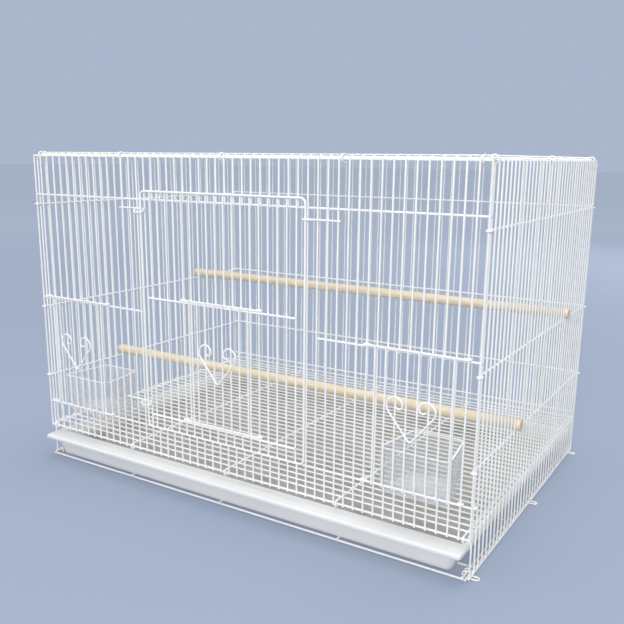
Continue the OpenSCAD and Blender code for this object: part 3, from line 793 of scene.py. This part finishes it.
def math_of(tree, operation, first, second=None, clamp=False):
    """Works on one or two values, each a socket or a plain number."""
    step = add_node(tree, "ShaderNodeMath", operation=operation, use_clamp=clamp)
    for socket, value in zip(step.inputs, (first, second)):
        if isinstance(value, float):
            socket.default_value = value
        elif value is not None:
            tree.links.new(value, socket)
    return step.outputs[0]


# %% Blend two colours by a mask
def blend_colours(tree, mask, first, second):
    """The first colour where the mask is nothing, the second where it is one."""
    blend = tree.nodes.new("ShaderNodeMix")
    blend.data_type = "RGBA"
    for socket, colour in ((blend.inputs[6], first), (blend.inputs[7], second)):
        if isinstance(colour, tuple):
            socket.default_value = (*colour, 1)
        else:
            tree.links.new(colour, socket)
    tree.links.new(mask, blend.inputs[0])
    return blend.outputs[2]


# %% Build a group with named sockets
def new_group(name, inputs, outputs):
    group = bpy.data.node_groups.new(name, "ShaderNodeTree")
    for label, kind, value in inputs:
        socket = group.interface.new_socket(label, in_out="INPUT", socket_type=kind)
        if value is not None:
            socket.default_value = value
    for label, kind in outputs:
        group.interface.new_socket(label, in_out="OUTPUT", socket_type=kind)
    inside = group.nodes.new("NodeGroupInput").outputs
    outside = group.nodes.new("NodeGroupOutput").inputs
    print("group", name)
    return group, inside, outside


# %% Orange peel of a coating
peel, peel_in, peel_out = new_group(
    "coating_peel",
    [("Vector", "NodeSocketVector", None), ("Grain", "NodeSocketFloat", 900.0)],
    [("Height", "NodeSocketFloat"), ("Mottle", "NodeSocketFloat")])
fine = add_node(peel, "ShaderNodeTexNoise", Detail=2.0, Roughness=0.5)
broad = add_node(peel, "ShaderNodeTexNoise", Scale=35.0, Detail=3.0, Roughness=0.6)
peel.links.new(peel_in["Vector"], fine.inputs["Vector"])
peel.links.new(peel_in["Grain"], fine.inputs["Scale"])
peel.links.new(peel_in["Vector"], broad.inputs["Vector"])
peel.links.new(fine.outputs["Fac"], peel_out["Height"])
peel.links.new(broad.outputs["Fac"], peel_out["Mottle"])

# %% Soft soiling in patches
soil, soil_in, soil_out = new_group(
    "soft_soil",
    [("Vector", "NodeSocketVector", None), ("Scale", "NodeSocketFloat", 12.0),
     ("Amount", "NodeSocketFloat", 0.3)],
    [("Mask", "NodeSocketFloat")])
patch = add_node(soil, "ShaderNodeTexNoise", Detail=5.0, Roughness=0.65)
soil.links.new(soil_in["Vector"], patch.inputs["Vector"])
soil.links.new(soil_in["Scale"], patch.inputs["Scale"])
patches = band_of(soil, patch.outputs["Fac"], 0.45, 0.8)
soil.links.new(math_of(soil, "MULTIPLY", patches, soil_in["Amount"]), soil_out["Mask"])

# %% Fibres of wood
fibre, fibre_in, fibre_out = new_group(
    "dowel_fibre",
    [("Vector", "NodeSocketVector", None), ("Fineness", "NodeSocketFloat", 700.0)],
    [("Streak", "NodeSocketFloat"), ("Band", "NodeSocketFloat"), ("Pore", "NodeSocketFloat")])
stretch = add_node(fibre, "ShaderNodeMapping", Scale=(0.035, 1.0, 1.0))
streak = add_node(fibre, "ShaderNodeTexNoise", Detail=4.0, Roughness=0.7)
band = add_node(fibre, "ShaderNodeTexNoise", Scale=110.0, Detail=2.0)
pore = add_node(fibre, "ShaderNodeTexVoronoi", Scale=1500.0)
fibre.links.new(fibre_in["Vector"], stretch.inputs["Vector"])
for pattern in (streak, band, pore):
    fibre.links.new(stretch.outputs["Vector"], pattern.inputs["Vector"])
fibre.links.new(fibre_in["Fineness"], streak.inputs["Scale"])
fibre.links.new(streak.outputs["Fac"], fibre_out["Streak"])
fibre.links.new(band.outputs["Fac"], fibre_out["Band"])
fibre.links.new(pore.outputs["Distance"], fibre_out["Pore"])


# %% Start a material
def new_finish(name):
    finish = bpy.data.materials.new(name)
    finish.use_nodes = True
    tree = finish.node_tree
    place = tree.nodes.new("ShaderNodeTexCoord")
    print("finish", name)
    return finish, tree, tree.nodes["Principled BSDF"], place


def use_group(tree, group, place, **values):
    node = tree.nodes.new("ShaderNodeGroup")
    node.node_tree = group
    tree.links.new(place.outputs["Object"], node.inputs["Vector"])
    for key, value in values.items():
        node.inputs[key].default_value = value
    return node.outputs


def bump_from(tree, shader, height, strength, distance):
    bump = add_node(tree, "ShaderNodeBump", Strength=strength, Distance=distance)
    tree.links.new(height, bump.inputs["Height"])
    tree.links.new(bump.outputs["Normal"], shader.inputs["Normal"])


# %% [markdown]
# ## White coated wire
# The wires are dipped or powder coated in white. The coat is fairly glossy, very slightly
# uneven, and a touch greyer in patches where it is thin or handled.

# %% Coated wire
def coated_wire(name, white, thin, gloss, grain):
    finish, tree, shader, place = new_finish(name)
    coat = use_group(tree, peel, place, Grain=grain)
    dirt = use_group(tree, soil, place, Scale=16.0, Amount=0.55)
    tree.links.new(blend_colours(tree, dirt["Mask"], white, thin), shader.inputs["Base Color"])
    tree.links.new(range_of(tree, coat["Mottle"], gloss - 0.06, gloss + 0.1),
                   shader.inputs["Roughness"])
    shader.inputs["Coat Weight"].default_value = 0.25
    shader.inputs["Coat Roughness"].default_value = 0.15
    bump_from(tree, shader, coat["Height"], 0.12, 0.3 * MM)
    return finish


wall_white = coated_wire("wall_wire_white", (0.90, 0.90, 0.885), (0.76, 0.755, 0.73), 0.32, 850.0)
door_white = coated_wire("door_wire_white", (0.91, 0.91, 0.90), (0.79, 0.785, 0.765), 0.28, 800.0)
floor_white = coated_wire("floor_wire_white", (0.89, 0.89, 0.87), (0.72, 0.71, 0.67), 0.36, 850.0)
weld_white = coated_wire("weld_white", (0.88, 0.88, 0.86), (0.72, 0.71, 0.68), 0.38, 1200.0)

# %% [markdown]
# ## Tray plastic
# Polystyrene with a moulded gloss. The rim is clean and white, with faint scuffs from sliding.
# The floor is painted a dull warm grey, a painted shade that stands for the shadow the grate
# casts on it, in patches of two greys, and it fades up the walls. Height decides between the two,
# so the painted shade lies at the bottom whatever the tray's plan. It lies on the inside only, so
# faces that look straight to the side or down stay white.

# %% Tray plastic
SHADE_LOW, SHADE_HIGH = 11 * MM, 27 * MM
tray_white, tree, shader, place = new_finish("tray_plastic_white")
gloss = use_group(tree, peel, place, Grain=260.0)
scuffs = use_group(tree, soil, place, Scale=7.0, Amount=0.5)
shade_patches = use_group(tree, soil, place, Scale=26.0, Amount=1.0)
height = tree.nodes.new("ShaderNodeSeparateXYZ")
tree.links.new(place.outputs["Object"], height.inputs["Vector"])
facing = tree.nodes.new("ShaderNodeNewGeometry")
upward = tree.nodes.new("ShaderNodeSeparateXYZ")
tree.links.new(facing.outputs["Normal"], upward.inputs["Vector"])
# painted shade: upward faces low inside the tray turn grey, for the grate's shadow
painted_shade = math_of(tree, "MULTIPLY", band_of(tree, height.outputs["Z"], SHADE_HIGH, SHADE_LOW),
                band_of(tree, upward.outputs["Z"], 0.0, 0.25))
clean = blend_colours(tree, scuffs["Mask"], (0.80, 0.80, 0.795), (0.71, 0.71, 0.70))
# the colour of the painted shade, two greys in patches
shade_grey = blend_colours(tree, shade_patches["Mask"], (0.40, 0.39, 0.36), (0.27, 0.255, 0.22))
tree.links.new(blend_colours(tree, painted_shade, clean, shade_grey), shader.inputs["Base Color"])
tree.links.new(range_of(tree, gloss["Mottle"], 0.25, 0.42), shader.inputs["Roughness"])
bump_from(tree, shader, gloss["Height"], 0.06, 0.4 * MM)

# %% [markdown]
# ## Perch wood
# A pale hardwood dowel, unvarnished. Fine brown streaks run along it, with broader warm and
# pale bands, and the surface is matt and slightly furry.

# %% Perch wood
perch_wood, tree, shader, place = new_finish("perch_dowel_wood")
grain = use_group(tree, fibre, place, Fineness=620.0)
bands = blend_colours(tree, range_of(tree, grain["Band"], -0.35, 1.25),
                      (0.83, 0.73, 0.57), (0.69, 0.56, 0.38))
streaks = add_node(tree, "ShaderNodeMapRange", From_Min=0.5, From_Max=0.85, To_Max=0.6)
tree.links.new(grain["Streak"], streaks.inputs["Value"])
tree.links.new(blend_colours(tree, streaks.outputs["Result"], bands, (0.58, 0.45, 0.30)),
               shader.inputs["Base Color"])
tree.links.new(range_of(tree, grain["Pore"], 0.55, 0.72), shader.inputs["Roughness"])
bump_from(tree, shader, grain["Streak"], 0.25, 0.4 * MM)

# %% [markdown]
# ## Clear plastic
# The cups are thin clear polystyrene, a touch cool and milky. Refraction in such thin walls can
# hardly be seen, so the walls are made see-through with Alpha, which also lets the light fall
# through them onto the grate. Looked at along a wall there is more plastic to see, so Layer
# Weight makes it more solid there, and scuffs from seed do so in patches. The top edge, the
# round front corners and the edge of the base carry a painted highlight: thin lines of a paler
# colour and more solid plastic. Bands on the three axes mark those places.

# %% Mark the painted highlights of a cup
CORNER_BAND = (35 * MM, 38.5 * MM)
FRONT_BAND = (CUP_FRONT + 5 * MM, CUP_FRONT + 1.5 * MM)
TOP_BAND = (CUP_HIGH - 2 * MM, CUP_HIGH - 0.8 * MM)
FOOT_BAND = (CUP_LOW + 3 * MM, CUP_LOW + 0.5 * MM)
FOOT_SHARE = 0.35
clear, tree, shader, place = new_finish("cup_plastic_clear")
apart = tree.nodes.new("ShaderNodeSeparateXYZ")
tree.links.new(place.outputs["Object"], apart.inputs["Vector"])
off_side = math_of(tree, "ABSOLUTE", apart.outputs["X"])
off_middle = math_of(tree, "ABSOLUTE", math_of(tree, "SUBTRACT", off_side, SIDE_DOOR_X))
corner = math_of(tree, "MULTIPLY", band_of(tree, off_middle, *CORNER_BAND),
                 band_of(tree, apart.outputs["Y"], *FRONT_BAND))
top_highlight = band_of(tree, apart.outputs["Z"], *TOP_BAND)
foot_highlight = math_of(tree, "MULTIPLY", band_of(tree, apart.outputs["Z"], *FOOT_BAND), FOOT_SHARE)
# painted highlight: the mask of the top edge, the front corners and the foot
painted_highlight = math_of(tree, "MAXIMUM", math_of(tree, "MAXIMUM", corner, top_highlight), foot_highlight)

# %% Clear plastic
SEE_THROUGH, ALONG_WALL = 0.02, 0.85
HIGHLIGHT_SOLID = 0.55
wave = use_group(tree, peel, place, Grain=60.0)
dirt = use_group(tree, soil, place, Scale=14.0, Amount=0.5)
body_tone = blend_colours(tree, dirt["Mask"], (0.72, 0.73, 0.765), (0.80, 0.80, 0.79))
# painted highlight: the marked edges take a paler colour
highlight_tone = blend_colours(tree, painted_highlight, body_tone, (0.94, 0.945, 0.96))
tree.links.new(highlight_tone, shader.inputs["Base Color"])
slant = add_node(tree, "ShaderNodeLayerWeight", Blend=0.25)
veil = math_of(tree, "ADD", range_of(tree, slant.outputs["Facing"], SEE_THROUGH, ALONG_WALL),
               range_of(tree, dirt["Mask"], 0.01, 0.10))
# painted highlight: the marked edges also become more solid
solid = math_of(tree, "ADD", veil, math_of(tree, "MULTIPLY", painted_highlight, HIGHLIGHT_SOLID), clamp=True)
tree.links.new(solid, shader.inputs["Alpha"])
tree.links.new(range_of(tree, wave["Mottle"], 0.05, 0.14), shader.inputs["Roughness"])
bump_from(tree, shader, wave["Mottle"], 0.1, 0.6 * MM)
shader.inputs["IOR"].default_value = 1.55
shader.inputs["Coat Weight"].default_value = 1.0
shader.inputs["Coat Roughness"].default_value = 0.04


# %% [markdown]
# ## Give each piece its finish
# The walls, the doors and the floor get slightly different coats, because they are dipped in
# separate batches and the floor is scrubbed more often.

# %% Dress the pieces
def dress(piece, finish):
    piece.data.materials.clear()
    piece.data.materials.append(finish)


wall_nodes = ["front_panel", "back_panel", "left_panel", "right_panel", "top_panel",
              "top_ring_clips", "hinge_eyes", "foot_clips"]
door_nodes = ["door_frame", "door_grille", "door_latch", "lift_left", "lift_centre", "lift_right",
              "heart_left", "heart_centre", "heart_right"]
floor_nodes = ["floor_grate", "grate_bearers", "base_frame"]
node_finishes = ((wall_nodes, wall_white), (door_nodes, door_white), (floor_nodes, floor_white),
                 (["tray"], tray_white), (["perch_upper", "perch_lower"], perch_wood),
                 (["cup_left", "cup_right"], clear))
for names, finish in node_finishes:
    for name in names:
        dress(nodes[name], finish)
piece_finishes = (([*hearts.values(), latch], door_white),
                  ([hinge_loops, foot_loops, side_foot_rails], wall_white), (beads, weld_white),
                  ([tray], tray_white), ([upper_perch, lower_perch], perch_wood),
                  (cups.values(), clear))
for pieces, finish in piece_finishes:
    for piece in pieces:
        dress(piece, finish)
print("dressed", len(nodes), "nodes")

# %% [markdown]
# ## Floor, backdrop and light
# A plain pale floor carries the shadow and runs back without an edge, because the world shows the
# same pale blue to the camera and in reflections. The glow that makes the floor pale is seen and
# mirrored but lights nothing, so the white wires keep their own level.

# %% Lay the floor
BACKDROP = (0.40, 0.47, 0.60)
NEAR_GLOW = (0.175, 0.205, 0.27)
FAR_GLOW = (0.289, 0.335, 0.422)
GLOW_NEAR, GLOW_FAR = 0.6, 4.5
FLOOR_SIZE, FLOOR_Z = 60, -0.2 * MM
clear_selection()
bpy.ops.mesh.primitive_plane_add(size=FLOOR_SIZE, location=(0, 0, FLOOR_Z))
ground = set_down(bpy.context.object, "ground")
ground_tone, tree, shader, place = new_finish("ground_pale")
soft = use_group(tree, soil, place, Scale=1.2, Amount=0.25)
tree.links.new(blend_colours(tree, soft["Mask"], (0.17, 0.20, 0.255), (0.16, 0.19, 0.24)),
               shader.inputs["Base Color"])
shader.inputs["Roughness"].default_value = 0.9
shader.inputs["Specular IOR Level"].default_value = 0.0


def seen_or_mirrored(tree):
    """One for rays from the camera, in mirrors and through clear plastic, nothing for light."""
    path = tree.nodes.new("ShaderNodeLightPath").outputs
    seen = math_of(tree, "MAXIMUM", path["Is Camera Ray"], path["Is Glossy Ray"])
    return math_of(tree, "MAXIMUM", seen, path["Is Transmission Ray"])


distance = add_node(tree, "ShaderNodeVectorMath", operation="LENGTH")
tree.links.new(place.outputs["Object"], distance.inputs[0])
far = add_node(tree, "ShaderNodeMapRange", From_Min=GLOW_NEAR, From_Max=GLOW_FAR,
               interpolation_type="SMOOTHSTEP")
tree.links.new(distance.outputs["Value"], far.inputs["Value"])
tree.links.new(blend_colours(tree, far.outputs["Result"], NEAR_GLOW, FAR_GLOW),
               shader.inputs["Emission Color"])
tree.links.new(seen_or_mirrored(tree), shader.inputs["Emission Strength"])
dress(ground, ground_tone)

# %% Light the world
SKY_LIGHT = (0.87, 0.90, 0.95)
SKY_STRENGTH = 0.55
world = bpy.data.worlds.new("studio")
bpy.context.scene.world = world
world.use_nodes = True
tree = world.node_tree
sky = tree.nodes["Background"]
sky.inputs["Color"].default_value = (*SKY_LIGHT, 1)
sky.inputs["Strength"].default_value = SKY_STRENGTH
shown = tree.nodes.new("ShaderNodeBackground")
shown.inputs["Color"].default_value = (*BACKDROP, 1)
either = tree.nodes.new("ShaderNodeMixShader")
tree.links.new(seen_or_mirrored(tree), either.inputs[0])
tree.links.new(sky.outputs[0], either.inputs[1])
tree.links.new(shown.outputs[0], either.inputs[2])
tree.links.new(either.outputs[0], tree.nodes["World Output"].inputs["Surface"])
print("world lit at", SKY_STRENGTH)

# %% [markdown]
# ### The lamps
# Four square lamps stand round the cage. The key lights the front, the fill softens its left
# side, the one overhead gives the top its line, and the one behind lights the wires that are
# seen from the back. The camera doesn't see the lamps themselves.

# %% Hang the lamps
LAMPS = (("key", (0.9, -2.3, 1.0), (0, 0, 0.2), 0.9, 39),
         ("fill", (-1.8, -1.4, 0.9), (0, 0, 0.2), 1.2, 10),
         ("over", (0.3, 0.1, 3.6), (0, 0, 0), 1.8, 60),
         ("back", (0.2, 2.6, 1.5), (0, 0, 0.2), 1.6, 24))


def hang_lamp(name, at, towards, width, watts):
    light = bpy.data.lights.new(name, "AREA")
    light.size = width
    light.energy = watts
    holder = bpy.data.objects.new(name, light)
    bpy.context.collection.objects.link(holder)
    holder.location = at
    holder.visible_camera = False
    holder.rotation_euler = (Vector(towards) - Vector(at)).to_track_quat("-Z", "Y").to_euler()


for lamp in LAMPS:
    hang_lamp(*lamp)
print("lamps placed", len(LAMPS))
